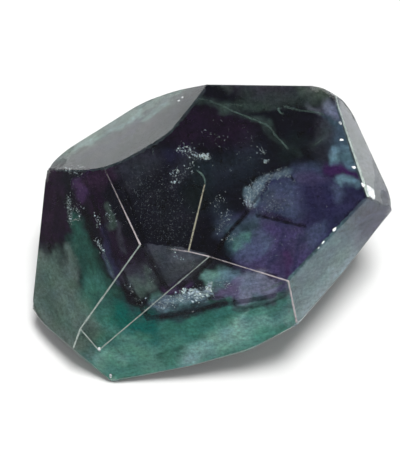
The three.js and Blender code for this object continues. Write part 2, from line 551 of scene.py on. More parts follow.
# zones of colour, painted over each other in this order; all sizes and places in mm from the
# stone's middle: tint, share, radius, softness, path of (right, back)
tableZones = [
    # the first three lie under the bevels: painted reflection, the bevels' grey, blue and
    # sea-green sheen
    ("bevelSea", 1, 4.5, 0.4, [(-35, 15.5), (-24, 21), (-14, 26), (-7, 29.5)]),
    ("tipGrey", 1, 3.5, 0.4, [(32, 29), (38, 20), (42.5, 10)]),
    ("tipBlue", 1, 3.5, 0.4, [(42.5, 3), (36, -6), (28, -14), (22.5, -19)]),
    ("teal", 1, 11, 0.35, [(-30, -26), (-12, -27), (6, -24), (20, -23)]),
    ("greyGreen", 1, 7.5, 0.5, [(-39, -8), (-34.5, -15), (-31, -20)]),
    ("bottle", 0.95, 3.6, 0.7, [(-29, 1), (-28.2, -4), (-27, -8.5), (-25.5, -11)]),
    ("teal", 0.7, 4.5, 0.8, [(-26.5, -13), (-24, -15.5), (-21.5, -18.5)]),
    ("bottle", 0.7, 3.2, 1, [(-22.5, -14), (-20.5, -16.5)]),
    ("paleGreen", 0.8, 3.5, 1, [(-33, -12), (-31.5, -17)]),
    ("paleGreen", 0.75, 2.4, 1, [(-31.5, -4), (-31, -9)]),
    ("plumBlack", 1, 6, 0.4, [(-38, 12), (-37, 5), (-35.5, 2)]),
    ("plum", 0.45, 2.6, 1, [(-36.5, 3), (-34, 7)]),
    ("plumBlack", 1, 4, 0.5, [(-27, 5), (-24, 0), (-20, -7), (-17, -11)]),
    ("plum", 0.9, 3.5, 0.8, [(-26, 8), (-22, 9)]),
    ("magentaPlum", 0.7, 1.5, 1, [(-28.5, 8.5), (-27, 5.5)]),
    ("duskViolet", 0.8, 1.8, 1, [(-23.3, -2), (-22, -7), (-20.5, -10.5)]),
    ("slateBlue", 0.4, 0.8, 1, [(-24, -5), (-22, -9.5), (-20.3, -13)]),
    ("paleMoss", 0.7, 1.5, 1, [(-22, 2), (-20.8, -2.5)]),
    ("slateTeal", 0.6, 1.2, 1, [(-22.5, -8), (-21.6, -10.5)]),
    ("ash", 0.6, 1.1, 1, [(-19.5, -2), (-18.3, -7)]),
    ("ink", 0.9, 1.5, 0.8, [(-27, 3), (-26, -1), (-24.7, -5)]),
    ("ash", 0.9, 3.5, 0.8, [(-17, -11.5), (-13, -11.5)]),
    ("greyGreen", 0.65, 2.4, 1, [(-17, -12.3), (-14.5, -13.3), (-12, -13)]),
    ("paleMoss", 0.5, 1.2, 1, [(-14, -10.5), (-13, -12.5)]),
    ("smoke", 0.9, 4.5, 0.9, [(-18, 9), (-13, 10.5)]),
    ("smoke", 0.8, 3, 0.9, [(-16, 7), (-17, 6)]),
    ("duskViolet", 0.5, 3, 1, [(-9, 11), (-6, 13)]),
    ("smoke", 0.8, 3.5, 1, [(-7, 6.5), (-4, 11)]),
    ("plumBlack", 0.9, 7, 0.7, [(-6, 18), (0, 19.5), (6, 18)]),
    ("greenBlack", 0.8, 5, 1, [(-2, 8), (-3, 2)]),
    ("petrol", 0.4, 6, 1, [(1, 8), (6, 9), (9, 13)]),
    ("smoke", 0.25, 8, 1, [(-12, 3), (-8, -2)]),
    ("petrol", 0.5, 3.0, 1, [(1.5, 1), (3, -1), (2, -3)]),
    ("violet", 1, 9, 0.4, [(12, -6), (18, -5), (26, -1)]),
    ("duskViolet", 1, 8, 0.4, [(18, 4), (24, 4), (31, 2), (27, -1)]),
    ("slateBlue", 0.6, 5, 1, [(12, 2), (17, 4.5), (18, 1.5)]),
    ("ash", 0.4, 3, 1, [(13, 2.5), (16.5, 3)]),
    ("slateBlue", 0.45, 3.5, 1, [(19, 9.5), (24, 10.5)]),
    ("plumLilac", 0.3, 2, 1, [(20, 8), (26, 8.5)]),
    ("smoke", 0.6, 3, 1, [(26, 13), (24, 16)]),
    ("slateBlue", 0.7, 2.2, 1, [(28, 5.5)]),
    ("seaBlue", 0.6, 3.4, 0.9, [(5.5, -6), (7.5, -4), (9.5, -2.5)]),
    ("seaGreen", 0.75, 1.3, 0.9, [(6, -6.2), (8, -5)]),
    ("greenBlack", 0.6, 1.5, 1, [(8.3, -3), (6.7, -2.7)]),
    ("slateBlue", 0.7, 3, 0.9, [(8, -8), (11, -7), (12, -5.5)]),
    ("petrol", 0.7, 1.8, 1, [(9, -2), (10, -3)]),
    ("purple", 0.6, 2.5, 1, [(17, -7), (16.5, -11)]),
    ("duskViolet", 0.7, 0.9, 1, [(18.3, -11), (19.3, -7), (21.3, -3)]),
    ("duskViolet", 0.5, 0.8, 1, [(13.5, -11), (15, -7.5), (16.5, -3.5)]),
    ("magentaPlum", 0.8, 1.1, 1, [(16.7, -7.6), (17, -9), (16.6, -12)]),
    ("plum", 0.7, 1.2, 1, [(11, -11.6), (14, -12.8), (16.3, -13.3)]),
    ("slateBlue", 0.8, 1.0, 1, [(11.8, -6.9), (11.6, -8.4)]),
    ("slateBlue", 0.6, 2.5, 1, [(22, -4.5), (25, -2.8)]),
    ("slateBlue", 0.4, 2.6, 1, [(4.5, -1.5), (2.5, -4.5)]),
    ("ice", 0.6, 1.5, 0.4, [(8.6, 3.6), (9.2, 2.6), (11.3, 4.4), (10.5, 5.2)]),
    ("ice", 0.45, 1.5, 0.7, [(11.3, 6), (13.3, 8.3), (16.8, 9.4)]),
    ("frost", 0.5, 0.8, 0.6, [(8.3, 2.3), (8.9, 1.3)]),
    ("duskViolet", 0.9, 0.8, 0.8, [(11.2, 3.2), (12.4, 5), (14, 7)]),
    ("slateTeal", 1, 5, 1, [(29, 22), (29.5, 17), (31, 13)]),
    ("iceTeal", 0.95, 1.5, 0.7, [(27.6, 15.5), (28.2, 12.3)]),
    ("iceTeal", 0.6, 2.8, 1, [(31, 15), (32, 12)]),
    ("magenta", 1, 2.2, 0.8, [(26.5, 10.8), (30, 10.3), (34.5, 9)]),
    ("iceTeal", 1, 1.7, 0.8, [(28.8, 8), (33.5, 8)]),
    ("lilacGrey", 1, 2.4, 1, [(27, 26.5), (29.5, 24.5)]),
    ("ash", 0.9, 3, 1, [(26, 21), (25.5, 18)]),
    ("moss", 0.9, 3, 0.9, [(21, 29), (26, 28.5)]),
    ("smoke", 0.95, 3.6, 0.8, [(6, 29), (14, 28.5), (18, 28.5)]),
    ("moss", 0.3, 4, 1, [(9, 26), (16, 26.5), (22, 27)]),
    ("moss", 0.6, 2, 1, [(2, 29), (4, 28)]),
    ("paleMoss", 0.32, 2.2, 1, [(3, 23.3), (8, 24.3), (14, 24.6)]),
    ("paleMoss", 0.35, 1.6, 1, [(-5, 24.3), (-1, 24.8), (2.5, 23.8), (4, 22.8)]),
    ("paleMoss", 0.3, 1.8, 1, [(3, 23.4), (7, 22), (10.5, 20.8), (13.2, 19.6)]),
    ("paleMoss", 0.22, 1.4, 1, [(10, 21), (13, 19.8), (14.8, 17.5), (16.5, 15.8)]),
    ("paleMoss", 0.25, 1.6, 1, [(16.5, 15.8), (20, 14.3)]),
    ("paleMoss", 0.2, 1.2, 1, [(26.3, 20), (25, 17.5), (23, 16)]),
    ("greenBlack", 0.8, 4, 1, [(17, 14), (20, 17)]),
    ("frost", 0.5, 1.5, 1, [(23, 25.3), (25, 24.6)]),
    ("seaGreen", 0.8, 2.4, 1, [(0.5, -12.3), (2.5, -12)]),
    ("iceTeal", 0.8, 2.2, 0.9, [(2.5, -12.3), (5.5, -12.3)]),
    ("mint", 0.95, 1.7, 0.9, [(-0.5, -11.5), (0.5, -13)]),
    ("lilacGrey", 1, 3, 0.6, [(7.5, -14), (13.5, -14)]),
    ("violet", 0.9, 2.0, 0.8, [(15.5, -13.5), (18, -13.8)]),
    ("plum", 0.55, 1.0, 1, [(5.9, -15.3), (6.3, -17.3), (12, -17), (17.3, -15.3)]),
    ("plumLilac", 0.9, 1.4, 0.9, [(2, -14.6), (6, -14.3)]),
    ("magentaPlum", 0.9, 1.6, 0.9, [(-9, -14.2), (-4.5, -13.2)]),
    ("ice", 0.8, 1.8, 0.8, [(-12, -17), (-7, -16.5), (-1, -15.6)]),
    ("seaGreen", 0.6, 1.2, 1, [(-12.5, -15.6), (-10.5, -15.2)]),
    ("plumBlack", 0.6, 0.5, 1, [(-13.5, -16.6), (-10, -16.9), (-7, -17.4)]),
    ("plumBlack", 0.3, 0.4, 1, [(-8, -15.3), (-4.5, -16.2), (-1, -16.4)]),
    ("petrol", 0.85, 1.3, 0.6, [(-13, -18.4), (-8, -18.7), (-2, -17.7), (4, -16.6)]),
    ("petrol", 0.6, 1.4, 1, [(-18, -17), (-16, -19), (-13, -19.6)]),
    ("deepTeal", 1, 3.4, 0.9, [(-20.5, -17.5), (-18, -20.2), (-13, -20.2)]),
    ("deepTeal", 0.4, 2.2, 0.9, [(-13, -20.5), (-4, -19.8), (5, -18.3)]),
    ("seaGreen", 0.9, 4, 1, [(-24, -25.5), (-18, -23.5), (-13, -26)]),
    ("paleSea", 1, 3.7, 1, [(-5, -25.7), (2, -23.3), (8, -21)]),
    ("paleSea", 0.6, 2.6, 1, [(9, -20.5), (12, -19.8), (17, -18.6)]),
    ("seaBlue", 0.5, 2.2, 1, [(14, -18.5), (19, -16.8)]),
    ("foam", 0.55, 0.9, 1, [(6, -21.5), (7.3, -19.3), (8.6, -18)]),
    ("foam", 0.4, 1.0, 1, [(-4, -24.3), (3, -22.6), (8, -22.2)]),
    ("foam", 0.35, 0.8, 1, [(9, -20), (14, -18.4)]),
    ("paleSea", 0.6, 3, 1, [(-26, -26)]),
    ("paleSea", 0.5, 1.6, 1, [(-24, -24.7), (-19.5, -26.5)]),
    ("bottle", 0.75, 1.0, 1, [(-12, -25.6), (-10, -24.6), (-6.3, -24)]),
    ("bottle", 0.5, 0.8, 1, [(-11.5, -26.2), (-7.5, -25.7)]),
    ("greyGreen", 0.6, 3, 1, [(-28, -23), (-26.5, -20)]),
    ("moss", 0.5, 3, 1, [(-27.5, -22), (-25, -21)]),
]
# zones that only show through one polished face; under the three bevels their grey ground tints
# are painted reflection, the bevels' sheen, with painted shade along the inner edge of the left
# back bevel and a painted highlight down the right front bevel
faceZones = {
    "frontStrip": [
        ("frost", 0.42, 4.5, 0.6, [(-10, -7), (-3, -8), (-7, -10.5)]),
        ("frost", 0.35, 1.8, 1, [(-7.5, -8.6), (-4.5, -9)]),
        ("plumBlack", 0.9, 1.3, 0.8, [(-14.3, -8), (-12.2, -11), (-9.5, -15)]),
    ],
    "leftBackBevel": [
        ("bevelGrey", 1, 90, 1, [(-20, 20)]),
        ("bevelSea", 0.9, 5, 1, [(-34, 17), (-24, 22), (-14, 26), (-6, 30)]),
        ("tipLilac", 0.6, 1.8, 1, [(-28, 14), (-22, 15.5), (-16, 18.5)]),
        ("paleSea", 0.5, 1.5, 1, [(-30, 16.3), (-22, 20), (-15, 23.5)]),
        ("tipLilac", 0.4, 1.5, 1, [(-18, 20.5), (-12, 23.5)]),
        ("paleSea", 0.4, 1.3, 1, [(-14, 21.5), (-8, 25.5)]),
        ("bevelShade", 0.6, 1.5, 1, [(-7, 27.5), (-4.5, 28.2)]),
        # painted shade along the bevel's inner edge
        ("bevelShade", 0.9, 5, 1,
         [(-30, 11.5), (-22, 11.5), (-15, 14), (-10, 17), (-5.5, 22), (-2, 27)]),
    ],
    "rightFrontBevel": [
        ("tipBlue", 1, 90, 1, [(30, -6)]),
        # painted highlight along the bevel
        ("tipHighlight", 0.75, 5, 1, [(36.5, -3), (32, -7), (27, -12.5), (23, -18)]),
        ("tipLilac", 1, 9.5, 0.9, [(42, 5), (36, 1)]),
    ],
    "rightBackBevel": [
        ("tipGrey", 1, 90, 1, [(35, 18)]),
        ("tipLilac", 0.8, 7, 1, [(41, 6)]),
    ],
}
# where cleavage cracks crowd and sparkle like sugar, with painted glints: share, radius,
# softness, path
sugarZones = [
    (0.42, 12, 0.8, [(-13, 4), (-9, -4)]),
    (0.2, 12, 0.8, [(2, 14), (8, 14)]),
    (0.3, 9, 0.8, [(14, 1), (20, -4)]),
    (0.4, 5, 1, [(-30, 10), (-28, 7)]),
    (0.75, 1.9, 0.5, [(9, 3.4), (11, 5)]),
    (0.6, 1.8, 0.8, [(11.5, 6.3), (13.5, 8.3), (16.8, 9.4)]),
    (0.5, 3, 0.9, [(12, 1), (15, 1.5)]),
    (0.7, 2.2, 0.9, [(-7, 12.8), (-3.5, 12), (-0.5, 11)]),
    (0.6, 1.8, 0.9, [(-8, 6), (-5.5, 7)]),
    (0.7, 1.8, 0.9, [(-31, 5.5), (-30.3, 1.3)]),
    (0.8, 2.0, 0.9, [(-12, -17), (-7, -16), (-2, -15.2), (0.5, -14.2)]),
    (0.45, 2.6, 1, [(0, -12), (4, -13)]),
    (0.5, 2, 1, [(1.5, 1.5), (3.5, -1), (2.5, -4)]),
    (0.4, 3, 1, [(6, -6), (12, -6.5)]),
]

# the cloudy crystal is full of fine bubbles close under the polish: the stone's own skin, on a
# finer mesh, moved in; the inward directions are averaged so that it turns softly at the edges,
# and it comes closer to the surface at the sharp rim
veilSpec = {
    "depth": 1.2 * mm,
    "rimDepth": 0.03 * mm,
    "rimReach": 2.6,  # mm from the girdle
    "inwardTurns": 6,  # rounds of averaging for the way in
    "faceTurns": 2,  # and for telling which face a place lies under
    "faceBlend": (-0.03, 0.05),
    "drifts": ((4.5, 1.3), (1.5, 0.6)),  # size and reach in mm
    "wallStart": -0.05,
    "wallBlend": 0.4,
    "wallMost": 0.8,
    "wallBands": (5, 30),  # mm across and along
    "wallContrast": 1.4,
    "streakSize": (1.5, 8),  # mm across and along
    "wallSolidity": 0.5,
    "extraSolidity": 0.6,
    "topBlend": (-0.35, 0.25),
    "hueLength": 3.2,
    "hueSwing": 0.1,
    "toneSwing": 0.18,
}
skin = bmesh.new()
skin.from_mesh(mesh)
bmesh.ops.subdivide_edges(skin, edges=skin.edges[:], cuts=2, use_grid_fill=True)
skin.normal_update()
skinPlaces = np.array([v.co for v in skin.verts])
skinEdges = np.array([(e.verts[0].index, e.verts[1].index) for e in skin.edges])
nearby = 1 + np.bincount(skinEdges.ravel(), minlength=len(skinPlaces))
averaged = [np.array([v.normal for v in skin.verts])]
for turn in range(veilSpec["inwardTurns"]):
    total = averaged[-1].copy()
    np.add.at(total, skinEdges[:, 0], averaged[-1][skinEdges[:, 1]])
    np.add.at(total, skinEdges[:, 1], averaged[-1][skinEdges[:, 0]])
    averaged.append(total / nearby[:, None])
faceWay, inward = [n / np.linalg.norm(n, axis=1, keepdims=True)
                   for n in (averaged[veilSpec["faceTurns"]], averaged[-1])]
skinPlan = (skinPlaces - np.array(stoneMiddle))[:, :2] / mm
rimPath = [((points[i] - stoneMiddle) / mm)[:2] for i in girdle + girdle[:1]]
fromRim = np.clip(gapToPath(*skinPlan.T, rimPath) / veilSpec["rimReach"], 0, 1)
veilDepths = veilSpec["rimDepth"] + (veilSpec["depth"] - veilSpec["rimDepth"]) * fromRim
veilPlaces = skinPlaces - inward * veilDepths[:, None]

# noise moves the outlines of the zones, so that none of them is a clean stroke
(slowLength, slowDrift), (fastLength, fastDrift) = veilSpec["drifts"]
drift = [noise.noise_vector(Vector(p) / (slowLength * mm)) * slowDrift
         + noise.noise_vector(Vector(p) / (fastLength * mm)) * fastDrift for p in veilPlaces]
drifted = (veilPlaces - np.array(stoneMiddle)) / mm + np.array(drift)
plan = drifted[:, 0], drifted[:, 1]
turnedTo = {name: faceWay @ np.array(normal) for name, (_, normal) in zip(rings, stonePlanes)
            if name in upperFaces}
tintOf = {name: np.array(linear(tint)[:3]) for name, tint in tints.items()}
colour = np.tile(tintOf["ink"], (len(veilPlaces), 1))
for faceOnly, zones in [(None, tableZones), *faceZones.items()]:
    mask = np.ones(len(veilPlaces))
    if faceOnly:
        others = np.max([turnedTo[name] for name in upperFaces if name != faceOnly], axis=0)
        start, length = veilSpec["faceBlend"]
        mask = np.clip((turnedTo[faceOnly] - others - start) / length, 0, 1)
    for tint, share, radius, softness, path in zones:
        cover = share * mask * zoneShare(*plan, radius, softness, path)
        colour += cover[:, None] * (tintOf[tint] - colour)

# growth bands follow the outer cube faces; the lower walls, unlike the top, are clear green
# with purple bands
cubePlanes = [facePlane(*face) for face in (outerLeft, outerFront)]
bandGap = np.max([(veilPlaces - np.array(p)) @ np.array(n) for p, n in cubePlanes], axis=0) / mm
bandWidth, bandLength = veilSpec["wallBands"]
wallTurns = np.array([noise.noise(Vector((gap / bandWidth, right / bandLength, 3)))
                      for gap, right in zip(bandGap, plan[0])])
wallMix = np.clip(0.5 + veilSpec["wallContrast"] * wallTurns, 0, 1)[:, None]
wallColour = (1 - wallMix) * tintOf["violet"] + wallMix * tintOf["teal"]
wallShare = (veilSpec["wallStart"] - faceWay[:, 2]) / veilSpec["wallBlend"]
colour += np.clip(wallShare, 0, veilSpec["wallMost"])[:, None] * (wallColour - colour)
# small changes of tint everywhere
hue = np.array([noise.noise_vector(Vector(p) / (veilSpec["hueLength"] * mm))
                for p in veilPlaces])
colour *= 1 + veilSpec["hueSwing"] * hue + veilSpec["toneSwing"] * hue[:, :1]
sugar = np.zeros(len(veilPlaces))
for share, radius, softness, path in sugarZones:
    sugar = np.maximum(sugar, share * zoneShare(*plan, radius, softness, path))
streakWidth, streakLength = veilSpec["streakSize"]
bands = np.stack([bandGap / streakWidth, *(way / streakLength for way in plan)], axis=1)
# solid under the upper faces, half clear on the walls
start, length = veilSpec["topBlend"]
topShare = np.clip((faceWay[:, 2] - start) / length, 0, 1)
solidity = veilSpec["wallSolidity"] + veilSpec["extraSolidity"] * topShare

# cloudy crystal seen through the polish: colour from the zones, made uneven by growth bands and
# fine grain; the brightest grains are painted glints, pale spots mixed into the colour where
# small cleavage cracks crowd, so that they glitter like sugar
# the painted glints: grain size, lift where cracks crowd, noise range and the pale colour they
# are painted in
paintedSparkle = {"grainSize": 0.38, "crowdLift": 0.22, "from": 0.66, "to": 0.82, "colour": "#e6eef4"}
cloudyCrystal, tree = newTree("cloudyCrystal")
place = addNode(tree, "TexCoord").outputs["Object"]
tint, bandPlace, sugarShare, solid = [
    addNode(tree, "Attribute", {"attribute_name": name}).outputs[output]
    for name, output in (("tint", "Color"), ("bands", "Vector"), ("sugar", "Fac"),
                         ("solidity", "Fac"))]
# where the noise lies, its scale, detail and roughness, and the range it is spread over
unevenness = [
    (bandPlace, 1.0, 5.0, 0.6, 0.78, 1.22),
    (place, 1 / (0.8 * mm), 6.0, 0.8, 0.5, 1.5),
    (place, 1 / (3.5 * mm), 6.0, 0.65, -0.3, 0.3),
]
spreads = []
for vector, scale, detail, roughness, low, high in unevenness:
    made = addNode(tree, "TexNoise", Vector=vector, Scale=scale, Detail=detail,
                   Roughness=roughness)
    spreads.append(addNode(tree, "MapRange", Value=made, From_Min=0.3, From_Max=0.7,
                           To_Min=low, To_Max=high))
streaks, grain, wisps = spreads
uneven = addNode(tree, "Math", {"operation": "MULTIPLY"}, [streaks, grain])
shaded = addNode(tree, "VectorMath", {"operation": "SCALE"}, Vector=tint, Scale=uneven)
grains = addNode(tree, "TexNoise", Vector=place, Detail=2.0, Roughness=0.6,
                 Scale=1 / (paintedSparkle["grainSize"] * mm))
lifted = addNode(tree, "Math", {"operation": "MULTIPLY"}, [sugarShare, paintedSparkle["crowdLift"]])
bright = addNode(tree, "Math", {"operation": "ADD"}, [grains, lifted])
spark = addNode(tree, "MapRange", Value=bright, From_Min=paintedSparkle["from"],
                From_Max=paintedSparkle["to"])
crowded = addNode(tree, "Math", {"operation": "MULTIPLY"}, [sugarShare, sugarShare])
glint = addNode(tree, "Math", {"operation": "MULTIPLY"}, [spark, crowded])
mix = addNode(tree, "Mix", {"data_type": "RGBA"}, [glint, shaded, linear(paintedSparkle["colour"])])
alpha = addNode(tree, "Math", {"operation": "ADD", "use_clamp": True}, [solid, wisps])
surface = addNode(tree, "BsdfPrincipled", Base_Color=mix, Roughness=0.9,
                  Specular_IOR_Level=0.0, Alpha=alpha)
addNode(tree, "OutputMaterial", Surface=surface)

veilFaces = [[v.index for v in face.verts] for face in skin.faces]
veil = addMesh("cloudyCrystal", veilPlaces, veilFaces, cloudyCrystal)
tintValues = np.column_stack([colour, np.ones(len(colour))]).ravel()
addLayer(veil, "tint", "FLOAT_COLOR", "color", tintValues)
addLayer(veil, "bands", "FLOAT_VECTOR", "vector", bands.ravel())
addLayer(veil, "sugar", "FLOAT", "value", sugar)
addLayer(veil, "solidity", "FLOAT", "value", solidity)
keepOnStone(veil)
print("cloudyCrystal:", len(veilFaces), "faces")


# two colours mixed by noise; low and high are the part of its range that the change takes up
def twoTones(tree, place, dark, pale, low, high, **noiseSettings):
    blots = addNode(tree, "TexNoise", Vector=place, **noiseSettings)
    spread = addNode(tree, "MapRange", Value=blots, From_Min=low, From_Max=high)
    return addNode(tree, "Mix", {"data_type": "RGBA"}, [spread, linear(dark), linear(pale)])


# a seam's material: fine bubbles that thin out where the amount is low, in two noise-mixed tones
def veilMaterial(name, pale, dark, grainMm, thin, full):
    material, tree = newTree(name)
    place = addNode(tree, "TexCoord").outputs["Object"]
    wisps = addNode(tree, "TexNoise", Vector=place, Scale=1 / (grainMm * mm),
                    Detail=8.0, Roughness=0.7)
    amount = addNode(tree, "Attribute", {"attribute_name": "amount"})
    total = addNode(tree, "Math", {"operation": "ADD"}, [wisps, amount.outputs["Fac"]])
    alpha = addNode(tree, "MapRange", Value=total, From_Min=1 + thin, From_Max=1 + full)
    tone = twoTones(tree, place, dark, pale, 0.32, 0.68, Scale=1.7 / (grainMm * mm), Detail=8.0,
                    Roughness=0.75)
    surface = addNode(tree, "BsdfPrincipled", Base_Color=tone, Roughness=0.9,
                      Specular_IOR_Level=0.0, Alpha=alpha)
    addNode(tree, "OutputMaterial", Surface=surface)
    return material


# a smooth line of places about this many mm apart through the corners of a path
def smoothPath(path, step):
    line = []
    for k in range(len(path) - 1):
        p, q = Vector(path[max(k - 1, 0)]), Vector(path[k])
        r, s = Vector(path[k + 1]), Vector(path[min(k + 2, len(path) - 1)])
        count = max(1, round((r - q).length / step))
        line += [curvePlace(p, q, r, s, i / count) for i in range(count)]
    return line + [Vector(path[-1])]


seamShape = {
    "step": 0.35,
    "fadeSteps": 4,
    "fullWidth": 0.6,
    "unevenShare": 0.5,
    "unevenLength": 1.2,
}


# seams: narrow sheets along lines, faded at both sides and both ends:
# (width in mm, share, path of (right, back) in mm)
def addSeams(name, material, depth, seams):
    vertices, polygons, amounts = [], [], []
    for width, share, path in seams:
        line = smoothPath(path, seamShape["step"])
        last = len(line) - 1
        rows = []
        for i, place in enumerate(line):
            forward = (line[min(i + 1, last)] - line[max(i - 1, 0)]).normalized()
            side = Vector((-forward.y, forward.x))
            fade = seamShape["fadeSteps"]
            taper = min(1, (i + 0.5) / fade, (last - i + 0.5) / fade)
            swing = noise.noise(Vector((place.x, place.y, width)) / seamShape["unevenLength"])
            uneven = 1 + seamShape["unevenShare"] * swing
            row = []
            for k in range(-2, 3):
                spot = place + (side * k * width / 2 * uneven * (0.5 + 0.5 * taper)
                                * seamShape["fullWidth"])
                found = underSurface(spot.x, spot.y, depth)
                row.append(len(vertices) if found else None)
                if found:
                    vertices.append(found[0])
                    amounts.append(share * taper * (1 - (k / 2) ** 2))
            rows.append(row)
        for upper, lower in zip(rows, rows[1:]):
            for k in range(4):
                corners = [upper[k], upper[k + 1], lower[k + 1], lower[k]]
                if None not in corners:
                    polygons.append(corners)
    made = addMesh(name, vertices, polygons, material)
    addLayer(made, "amount", "FLOAT", "value", amounts)
    keepOnStone(made)
    print(name, len(polygons), "faces")


addSeams("darkSeams", veilMaterial("darkSeam", "#241c30", "#0a0710", 1.5, 0, 0.7), 0.8, [
    (1.5, 1.0, [(-7.5, -14.5), (-3, -12.3), (0.7, -9.3), (3, -6), (5, -3.5), (7.5, -1), (9, 1)]),
    (1.5, 0.9, [(-14.3, -7.5), (-12.3, -10.5), (-10.5, -13), (-8.5, -15)]),
    (1.2, 0.95, [(9.5, -0.3), (14, -1), (19, -1.8), (22, -2)]),
    (1.0, 0.6, [(19.5, 6), (27, 6.5)]),
    (0.8, 0.85, [(17.3, 9.7), (18.3, 7.7), (19.5, 6.2)]),
    (2.2, 0.8, [(-19.5, -12.5), (-17.5, -15.5), (-14.5, -18), (-10, -18.9), (-4, -18.3),
                (1, -17.2), (5, -16.6)]),
    (0.9, 0.8, [(-5, -17.2), (0, -16), (4, -15.6)]),
    (1.8, 0.9, [(-27.5, 3.5), (-26.8, -1), (-25.3, -4.5)]),
    (2.0, 0.7, [(26.3, 23.2), (24.5, 21.5), (22.5, 19)]),
    (1.2, 0.7, [(34.5, 5.2), (30.8, 1.3), (26.8, -3.1), (22, -8.2), (18.5, -12)]),
    (0.9, 0.8, [(5.8, -15), (6.2, -17.3), (12, -17.2), (17.5, -15.5)]),
])
addSeams("purpleSeams", veilMaterial("purpleSeam", "#5e3474", "#341648", 1.5, 0, 0.7), 0.9, [
    (2.0, 0.8, [(-9.5, -14), (-7, -13.8), (-4, -12.5)]),
    (2.2, 0.8, [(10, 0.2), (14, -0.4), (19, -1.4)]),
    (2.2, 0.7, [(-36, 3.5), (-33.5, 7.5)]),
    (1.6, 0.8, [(-14.5, -17), (-13, -17.4)]),
    (1.6, 0.9, [(-28.5, 8.5), (-25.5, 10)]),
    (1.4, 0.8, [(-28.5, 5), (-26.5, 5.3)]),
    (2.2, 0.6, [(26, 23), (23.5, 20.5), (21.5, 18.5)]),
    (1.4, 0.9, [(11.5, -11.8), (14, -12.6), (16, -13)]),
])
addSeams("paleWisps", veilMaterial("paleWisp", "#9fb4ae", "#56706a", 1.2, -0.05, 0.9), 0.9, [
    (0.8, 0.9, [(16, 25), (20, 24.2), (24, 24), (26.5, 23.3)]),
    (0.9, 1.3, [(16.6, 24.2), (15.4, 24.2), (15.8, 23.2), (17.2, 22.8)]),
    (0.7, 0.8, [(-5, 24.3), (-1, 24.8), (2.5, 23.8), (5, 24.2), (8, 24)]),
    (0.7, 1.0, [(3, 23.4), (7, 22), (10.5, 20.8), (13.2, 19.6), (14.8, 17.5), (16.5, 15.8),
                (17.8, 14)]),
    (0.6, 0.7, [(13.2, 19.6), (14, 21.5)]),
    (0.5, 1.4, [(-0.95, 4.6), (-1.1, 6.2), (-1.8, 7.4), (-3.2, 8.3)]),
    (0.7, 0.9, [(25.6, 18.5), (25, 17.5), (23, 16)]),
    (1.4, 0.6, [(-12, 14), (-12.4, 10.5)]),
    (0.8, 0.7, [(-24.3, -4.5), (-22.7, -7.5), (-21.2, -11), (-20.2, -13.5)]),
    (1.4, 0.7, [(-31.6, 7), (-31.2, 2)]),
    (2.4, 0.6, [(-24, -22.5), (-19, -26)]),
    (0.9, 1.2, [(-8.4, -7.1), (-7.6, -8.8)]),
    (0.7, 1.1, [(-7, -7.4), (-6.4, -7.6)]),
    (0.8, 0.8, [(-3, -9), (-4, -11.5)]),
    (0.9, 0.8, [(11, -15), (17, -13.3)]),
])
# cleavage cracks that shine seen flat on, painted nearly white: painted highlight
crackHighlight = veilMaterial("crackHighlight", "#ffffff", "#dfe9ee", 0.5, 0, 0.4)
addSeams("crackHighlights", crackHighlight, 0.5, [
    (0.4, 0.6, [(-25.6, 1.3), (-24.9, 0), (-24, -1.3)]),
    (0.4, 0.7, [(-25, -3.6), (-24, -5.8), (-23.4, -7)]),
    (0.8, 1.1, [(0.3, -13.7), (-0.4, -15.3)]),
    (0.6, 1.0, [(-5.6, -15), (-4.2, -15.1)]),
    (0.6, 1.0, [(-3.4, -15.2), (-2.1, -15.1)]),
    (0.5, 0.9, [(-8.2, -16.1), (-6.7, -15.5)]),
    (0.5, 0.9, [(-3, -14), (-1.3, -13.7)]),
    (0.6, 0.9, [(-18, -14), (-16.2, -15.1)]),
    (0.5, 0.9, [(-4.4, -18.5), (-2.7, -17.8)]),
    (0.6, 1.0, [(12, 11.5), (12.9, 10.5)]),
    (0.5, 0.6, [(-31.7, 7.1), (-31.3, 2.5)]),
    (0.5, 0.8, [(-31.2, 1.3), (-29.6, 1.1), (-28.6, 1)]),
    (0.6, 1.1, [(-7, 25), (-6.2, 25.5)]),
])

# tiny cleavage flakes: thin gaps in the crystal that mirror the light, each with its own film
# colour; sizes in mm, angles in degrees
flakeShape = {
    "groupSize": 3,
    "step": 0.17,
    "jitter": 0.09,
    "ways": (20, 75, 140),
    "wayJitter": 12,
    "depth": 0.4,
    "depthSpread": 0.6,
    "lean": 0.25,
    "sigmasInSpread": 2.5,
    "ragged": 0.6,
}
pearlFlake, tree = newTree("pearlFlake")
place = addNode(tree, "TexCoord").outputs["Object"]
film = twoTones(tree, place, "#cfdcee", "#f6fffc", 0.35, 0.65, Scale=1 / (0.8 * mm), Detail=2.0)
surface = addNode(tree, "BsdfPrincipled", Base_Color=film, Roughness=0.3, Metallic=0.9)
addNode(tree, "OutputMaterial", Surface=surface)
dice = random.Random(7)


